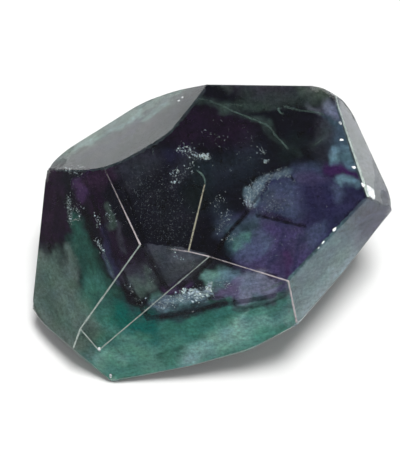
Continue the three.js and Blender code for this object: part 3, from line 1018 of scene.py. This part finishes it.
# flakes lie in short rows: every third one starts a row somewhere near the cluster's line
def addGlitter(name, clusters, material):
    vertices, polygons = [], []
    step, jitter = flakeShape["step"], flakeShape["jitter"]
    for x0, y0, x1, y1, radius, count, small, large in clusters:
        for i in range(count):
            if i % flakeShape["groupSize"] == 0:
                t = dice.random()
                x = x0 + (x1 - x0) * t + dice.gauss(0, radius / flakeShape["sigmasInSpread"])
                y = y0 + (y1 - y0) * t + dice.gauss(0, radius / flakeShape["sigmasInSpread"])
                way = math.radians(dice.choice(flakeShape["ways"])
                                   + dice.gauss(0, flakeShape["wayJitter"]))
            x += step * math.cos(way) + dice.gauss(0, jitter)
            y += step * math.sin(way) + dice.gauss(0, jitter)
            deep = flakeShape["depth"] + flakeShape["depthSpread"] * dice.random()
            found = underSurface(x, y, deep)
            size = small * (large / small) ** (dice.random() ** 3) * mm
            lean = Vector([dice.gauss(0, flakeShape["lean"]) for k in range(3)])
            turns = [math.tau * (k + flakeShape["ragged"] * dice.random()) / 4
                     for k in range(4)]
            if found is None:
                continue
            centre, normal = found
            tip = (normal + lean).normalized()
            side = tip.orthogonal().normalized()
            other = tip.cross(side)
            polygons.append([len(vertices) + k for k in range(4)])
            vertices += [centre + (side * math.cos(turn) + other * math.sin(turn)) * size / 2
                         for turn in turns]
    keepOnStone(addMesh(name, vertices, polygons, material))
    print(name, len(polygons), "flakes")


# from (right, back) to (right, back), spread, count, smallest and largest flake, all in mm
addGlitter("glitter", [
    (-7, 12.8, -3.5, 12.8, 1.3, 90, 0.08, 0.4),
    (-4.5, 11, -0.5, 11.2, 1.1, 130, 0.08, 0.5),
    (-1.8, 11.3, -0.4, 11, 0.6, 70, 0.2, 0.6),
    (-5, 8, -3, 9, 1.4, 50, 0.08, 0.35),
    (-8, 5.5, -6, 5.5, 0.5, 40, 0.10, 0.4),
    (-8, 7.5, -6.5, 7.6, 0.8, 40, 0.10, 0.4),
    (-16, 3, -9, -4, 9.0, 210, 0.05, 0.14),
    (8, 3, 12, 6.5, 1.8, 420, 0.06, 0.25),
    (12, 7, 17, 9, 1.8, 300, 0.06, 0.25),
    (8.3, 2.2, 9, 1.2, 0.9, 90, 0.1, 0.4),
    (11, 0.5, 16, 2, 2.5, 160, 0.06, 0.18),
    (-31.5, 11, -28, 9.5, 1.6, 110, 0.08, 0.4),
    (-31.3, 6, -31, 1.5, 0.7, 90, 0.08, 0.35),
    (-31.3, 1.3, -28.5, 1, 0.5, 50, 0.1, 0.45),
    (-30, 3.5, -28.5, 2.5, 1.3, 70, 0.08, 0.3),
    (-25.5, 1.5, -24, -1.5, 0.4, 50, 0.1, 0.5),
    (-25, -3.5, -23.3, -7, 0.5, 70, 0.1, 0.5),
    (-13, -17, -7, -16.5, 1.4, 170, 0.08, 0.5),
    (-7, -15.8, 0.5, -15, 1.2, 520, 0.1, 0.8),
    (-5.5, -15, -2, -15.1, 0.5, 90, 0.3, 1.1),
    (0.3, -13.7, -0.4, -15.3, 0.5, 90, 0.3, 1.1),
    (2, -13, 6, -14.5, 2.0, 110, 0.06, 0.35),
    (-2, 15.5, 3, 15.5, 2.5, 60, 0.06, 0.22),
    (1, 0.5, 3, 2.5, 1.5, 60, 0.06, 0.25),
    (4.5, 0, 2, -4.5, 1.2, 110, 0.06, 0.3),
    (3.5, -6, 5.5, -5.5, 1.0, 50, 0.08, 0.4),
    (11, 12.5, 12.5, 14, 1.5, 40, 0.08, 0.3),
    (12.4, 11, 12.6, 11, 0.4, 25, 0.2, 0.6),
    (-21.8, 1, -21.2, -1.5, 1.0, 60, 0.08, 0.35),
    (2, 12, 12, 18, 8.0, 60, 0.06, 0.18),
    (-7.6, -8.6, -6.2, -9.4, 0.6, 24, 0.1, 0.4),
    (12, -6, 24, -3, 6, 70, 0.05, 0.18),
    (-19, -13.5, -15, -17, 1.2, 45, 0.08, 0.35),
    (-14, -13, -12, -11, 2, 40, 0.06, 0.2),
    (16, 2, 20, 8, 3, 60, 0.05, 0.2),
], pearlFlake)


# pale lines along the edges, drawn as a narrow ground bevel whose fine pits scatter the light:
# their paleness is painted highlight, standing in for where the rounded edges catch the light
def edgeHighlightMaterial(name, colour):
    material, tree = newTree(name)
    place = addNode(tree, "TexCoord").outputs["Object"]
    pits = addNode(tree, "TexNoise", Vector=place, Scale=1 / (0.9 * mm), Detail=3.0)
    amount = addNode(tree, "Attribute", {"attribute_name": "amount"})
    patchy = addNode(tree, "MapRange", Value=pits, From_Min=0.3, From_Max=0.6, To_Min=0.55)
    alpha = addNode(tree, "Math", {"operation": "MULTIPLY"}, [patchy, amount.outputs["Fac"]])
    surface = addNode(tree, "BsdfPrincipled", Base_Color=linear(colour), Roughness=0.7,
                      Alpha=alpha)
    addNode(tree, "OutputMaterial", Surface=surface)
    return material


facesAtEdge = {}
for (place, normal), ring in zip(stonePlanes, rings.values()):
    for i, j in pairs(ring):
        facesAtEdge.setdefault(frozenset((i, j)), []).append(normal)
edgeShape = {
    "lift": 0.015 * mm,
    "keel": 0.05 * mm,
    "unevenShare": 0.35,
    "unevenLength": 1.3 * mm,
}


# a closed strip laid over an edge: the chain of corners, its width in mm at the two ends, and how
# strong the painted highlight is at the two ends
def addEdgeHighlight(name, chain, widths, strengths, material):
    names = chain.split()
    line, normals = [], []
    for a, b in zip(names, names[1:]):
        part = edgeLine(cornerIndex[a], cornerIndex[b])
        pair = facesAtEdge[frozenset((cornerIndex[a], cornerIndex[b]))]
        for i in part[1 if line else 0:]:
            line.append(points[i])
            normals.append(pair)
    vertices, polygons, amounts = [], [], []
    last = len(line) - 1
    lift = edgeShape["lift"]
    for i, place in enumerate(line):
        t = i / last
        along = (line[min(i + 1, last)] - line[max(i - 1, 0)]).normalized()
        up = (normals[i][0] + normals[i][1]).normalized()
        side = along.cross(up).normalized()
        uneven = 1 + edgeShape["unevenShare"] * noise.noise(place / edgeShape["unevenLength"])
        half = (widths[0] + (widths[1] - widths[0]) * t) / 2 * mm * uneven
        pair = sorted(normals[i], key=lambda n: n.dot(side))
        drops = [half * n.dot(side * s) / max(0.3, n.dot(up)) for n, s in zip(pair, (-1, 1))]
        vertices += [place - side * half - up * (drops[0] - lift),
                     place + up * lift,
                     place + side * half - up * (drops[1] - lift),
                     place - up * (max(drops) + edgeShape["keel"])]
        amounts += [strengths[0] + (strengths[1] - strengths[0]) * t] * 4
    for i in range(last):
        for k in range(4):
            j = (k + 1) % 4
            polygons.append([4 * i + k, 4 * i + j, 4 * i + 4 + j, 4 * i + 4 + k])
    polygons += [[3, 2, 1, 0], [4 * last + k for k in range(4)]]
    made = addMesh(name, vertices, polygons, material)
    addLayer(made, "amount", "FLOAT", "value", amounts)
    keepOnStone(made)


# painted highlights of the edges: the strip's own edges and the right back one are a little
# greener than the others on top, the fold is browner, and the rim is the faintest
edgeSets = [
    ("edgeHighlight", "#d3cacd", {
        "leftTableEdge": ("bevelFold tableLeft", (0.15, 0.42), (0.1, 0.95)),
        "frontTableEdge": ("tableFront tableRight", (0.2, 0.36), (0.3, 0.7)),
        "rightFrontEdge": ("tableRight frontRight", (0.4, 0.42), (0.75, 0.7)),
        "stripTableEdge": ("tableFront tableMid", (0.3, 0.28), (0.75, 0.5)),
        "stripTableFade": ("tableMid tableLeft", (0.28, 0.1), (0.5, -0.5)),
    }),
    ("foldHighlight", "#bcb9a4", {
        "tableFoldEdge": ("tableMid tableCentre", (0.36, 0.3), (0.6, 0.5)),
    }),
    ("paleEdgeHighlight", "#c2cfc8", {
        "leftStripEdge": ("tableLeft stripLeft toeLeft", (0.3, 0.42), (0.65, 0.85)),
        "toeStripEdge": ("stripLeft stripFront", (0.34, 0.34), (0.85, 0.85)),
        "frontStripEdge": ("stripFront tableFront", (0.3, 0.28), (0.65, 0.5)),
        "rightBackEdge": ("rightShoulder rightBrow rightApex", (0.4, 0.85), (0.4, 0.95)),
    }),
    ("rimHighlight", "#aab6b2", {
        "leftBackRim": ("leftShoulder leftShoulderBack backLeft backLeftHigh backPeak",
                        (0.22, 0.22), (0.5, 0.4)),
        "backRim": ("backPeak backRight rightShoulder", (0.2, 0.2), (0.25, 0.3)),
        "rightBackRim": ("rightShoulder rightShoulderFront rightTipBack rightTip",
                         (0.24, 0.24), (0.5, 0.7)),
        "rightFrontRim": ("rightTip rightMid frontRight", (0.24, 0.24), (0.7, 0.5)),
        "frontRim": ("frontRight frontMid frontLow toe", (0.24, 0.26), (0.4, 0.45)),
        "toeRim": ("toe toeLeft heelFront heelBack", (0.24, 0.24), (0.4, 0.4)),
        "leftRim": ("heelBack leftShoulder", (0.24, 0.2), (0.5, 0.25)),
    }),
]
for materialName, colour, edges in edgeSets:
    material = edgeHighlightMaterial(materialName, colour)
    for name, (chain, widths, strengths) in edges.items():
        addEdgeHighlight(name, chain, widths, strengths, material)
print("ground edges:", sum(len(edges) for _, _, edges in edgeSets))

# small white patches on the edges, partly chips and partly painted highlight, set where the edges
# shine: rough, stepped, so that some steps are greyer
chipHighlight, tree = newTree("chipHighlight")
place = addNode(tree, "TexCoord").outputs["Object"]
steps = twoTones(tree, place, "#a3aeb3", "#fbfdff", 0.35, 0.55, Scale=1 / (0.9 * mm), Detail=2.0)
surface = addNode(tree, "BsdfPrincipled", Base_Color=steps, Roughness=0.35)
addNode(tree, "OutputMaterial", Surface=surface)
# rings: share of the patch's reach, and lift over the polished surface in mm
chipHighlightShape = {
    "rings": ((0.3, 0.1), (0.6, 0.09), (0.85, 0.05), (1, -0.03)),
    "points": 14,
    "ragged": 0.5,
    "raggedReach": 1.3,
}


# a place this many mm above the stone's surface, straight under a plan position in mm
def drapedSpot(right, back, lift):
    spot, normal = onSurface(right, back)
    return spot + normal * lift * mm if spot else None


# laid over the stone from above: right, back, width, length in mm, and the turn of the length
# in degrees from straight back
def addChipHighlights(name, chips, material):
    vertices, polygons = [], []
    count, shake = chipHighlightShape["points"], chipHighlightShape["raggedReach"]
    for right, back, width, length, turn in chips:
        centre = len(vertices)
        vertices.append(drapedSpot(right, back, chipHighlightShape["rings"][0][1]))
        for share, lift in chipHighlightShape["rings"]:
            for k in range(count):
                b = math.tau * k / count
                spot = Vector((right + shake * math.cos(b), back + shake * math.sin(b), share))
                ragged = 1 + chipHighlightShape["ragged"] * noise.noise(spot)
                reach = Vector((width * math.cos(b), length * math.sin(b))) * share * ragged / 2
                reach.rotate(Matrix.Rotation(math.radians(turn), 2))
                vertices.append(drapedSpot(right + reach.x, back + reach.y, lift) or vertices[-1])
        circles = [[centre + 1 + ring * count + k for k in range(count)]
                   for ring in range(len(chipHighlightShape["rings"]))]
        polygons += [[centre, i, j] for i, j in pairs(circles[0])]
        for inner, outer in zip(circles, circles[1:]):
            for (i, j), (far, farNext) in zip(pairs(inner), pairs(outer)):
                polygons.append([i, far, farNext, j])
    keepOnStone(addMesh(name, vertices, polygons, material))


# white patches where the edges shine: painted highlight over small chips
addChipHighlights("edgeChipHighlights", [
    (36, 6.3, 2.1, 3.1, 5), (34.2, 7.4, 0.7, 1.2, 20), (32.2, 11.4, 1.0, 0.7, -20),
    (29.6, 17.7, 0.9, 0.6, 0), (29.4, 21.7, 0.7, 0.9, 20), (27.7, -2.5, 0.6, 1.2, -45),
    (25.2, -5.3, 0.35, 0.9, -40), (24.2, -6.5, 0.3, 0.7, -40), (-6.7, 25.2, 0.7, 0.5, 0),
    (-5.9, 26, 0.5, 0.5, 0), (-25.4, -24.6, 0.7, 0.8, 0), (-23.1, -29.4, 0.7, 0.8, 30),
], chipHighlight)
print("chips laid on the edges")

# matt white paper: no gloss, very pale
whitePaper, tree = newTree("whitePaper")
surface = addNode(tree, "BsdfPrincipled", Base_Color=linear("#f4f4f3"), Roughness=0.9,
                  Specular_IOR_Level=0.0)
addNode(tree, "OutputMaterial", Surface=surface)
floorSize = 6.0
floorPlace = (stoneMiddle.x, stoneMiddle.y, boxLow.z)
bpy.ops.mesh.primitive_plane_add(size=floorSize, location=floorPlace)
floor = bpy.context.object
floor.name = "studioFloor"
floor.data.materials.append(whitePaper)

# the camera looks down at the stone from the front; aim is from the stone's middle
view = {
    "elevation": 74,
    "distance": 338.5 * mm,
    "aim": (-2.0, -1.75, 9.5),
    "lens": 120,
}
tilt = math.radians(view["elevation"])
towardsCamera = Vector((0, -math.cos(tilt), math.sin(tilt)))
cameraData = bpy.data.cameras.new("camera")
cameraData.lens = view["lens"]
cameraData.sensor_width = 36
cameraData.clip_start = 0.01
camera = bpy.data.objects.new("camera", cameraData)
camera.location = stoneMiddle + Vector(view["aim"]) * mm + towardsCamera * view["distance"]
camera.rotation_euler = (math.radians(90 - view["elevation"]), 0, 0)
scene.collection.objects.link(camera)
scene.camera = camera

# the room: a pale backdrop to look at and through, and little light of its own otherwise, so
# that the upper faces stay dark
roomLight = {"backdrop": 0.95, "fill": 0.22, "onFloor": 0.31}
world = bpy.data.worlds.new("softStudio")
scene.world = world
world.use_nodes = True
tree = world.node_tree
tree.nodes.clear()
rays = addNode(tree, "LightPath")
seen = addNode(tree, "Math", {"operation": "MAXIMUM"},
               [rays.outputs["Is Camera Ray"], rays.outputs["Is Transmission Ray"]])
base = addNode(tree, "MapRange", Value=rays.outputs["Is Diffuse Ray"],
               To_Min=roomLight["fill"], To_Max=roomLight["onFloor"])
strength = addNode(tree, "MapRange", Value=seen, To_Min=base, To_Max=roomLight["backdrop"])
sky = addNode(tree, "Background", Color=(1, 1, 1, 1), Strength=strength)
addNode(tree, "OutputWorld", Surface=sky)

# the overhead lamp makes the soft close shadow; the cards only show in the polished bevels.
# azimuth 0 is in front of the stone, 90 on its right; then elevation, distance, width and
# height, and radiance, which is 1 for white
softboxes = {
    "overheadLamp": (158, 75, 4.0, 1.07, 1.07, 42.5),
    "leftBackCard": (-152, 0, 0.15, 0.20, 0.12, 1.22),
    "rightFrontCard": (68, 0, 0.066, 0.075, 0.10, 0.70),
    "rightBackCard": (136, 0, 0.09, 0.12, 0.10, 0.9),
    "rightBackInnerCard": (146, 0, 0.088, 0.12, 0.10, 0.85),
}
for name, (azimuth, elevation, distance, width, height, radiance) in softboxes.items():
    data = bpy.data.lights.new(name, "AREA")
    data.shape = "RECTANGLE"
    data.size = width
    data.size_y = height
    data.energy = radiance * math.pi * width * height
    lamp = bpy.data.objects.new(name, data)
    a, e = math.radians(azimuth), math.radians(elevation)
    way = Vector((math.sin(a) * math.cos(e), -math.cos(a) * math.cos(e), math.sin(e)))
    lamp.location = stoneMiddle + way * distance
    lamp.rotation_mode = "QUATERNION"
    lamp.rotation_quaternion = way.to_track_quat("Z", "Y")
    lamp.visible_camera = False
    lamp.visible_transmission = False
    lamp.visible_glossy = name != "overheadLamp"
    lamp.visible_diffuse = name == "overheadLamp"
    scene.collection.objects.link(lamp)

# matt grey card on the floor in front and on the left, only seen by reflections, so that the
# faces there stay deep
greyCard, tree = newTree("greyCard")
surface = addNode(tree, "BsdfPrincipled", Base_Color=linear("#898989"), Roughness=0.9,
                  Specular_IOR_Level=0.0)
addNode(tree, "OutputMaterial", Surface=surface)
cardShape = {"gap": 3 * mm, "far": 2.9, "lift": mm, "rightEnd": 0.02, "backEnd": 0.012}
left, front = boxLow.x - cardShape["gap"], boxLow.y - cardShape["gap"]
far, rightEnd, backEnd = cardShape["far"], cardShape["rightEnd"], cardShape["backEnd"]
corners = [(-far, -far), (rightEnd, -far), (rightEnd, front), (left, front), (left, backEnd),
           (-far, backEnd)]
floorCard = addMesh("floorCard", [(x, y, boxLow.z + cardShape["lift"]) for x, y in corners],
                    [[0, 1, 2, 3, 4, 5]], greyCard)
floorCard.visible_camera = False
floorCard.visible_diffuse = False
floorCard.visible_transmission = False
floorCard.visible_shadow = False
print("studio ready")

scene.view_settings.view_transform = "Standard"
scene.cycles.max_bounces = 24
scene.cycles.transmission_bounces = 24
scene.cycles.glossy_bounces = 12
scene.cycles.diffuse_bounces = 4
scene.cycles.transparent_max_bounces = 32
scene.cycles.sample_clamp_indirect = 6
scene.cycles.use_denoising = True
scene.cycles.denoiser = "OPENIMAGEDENOISE"
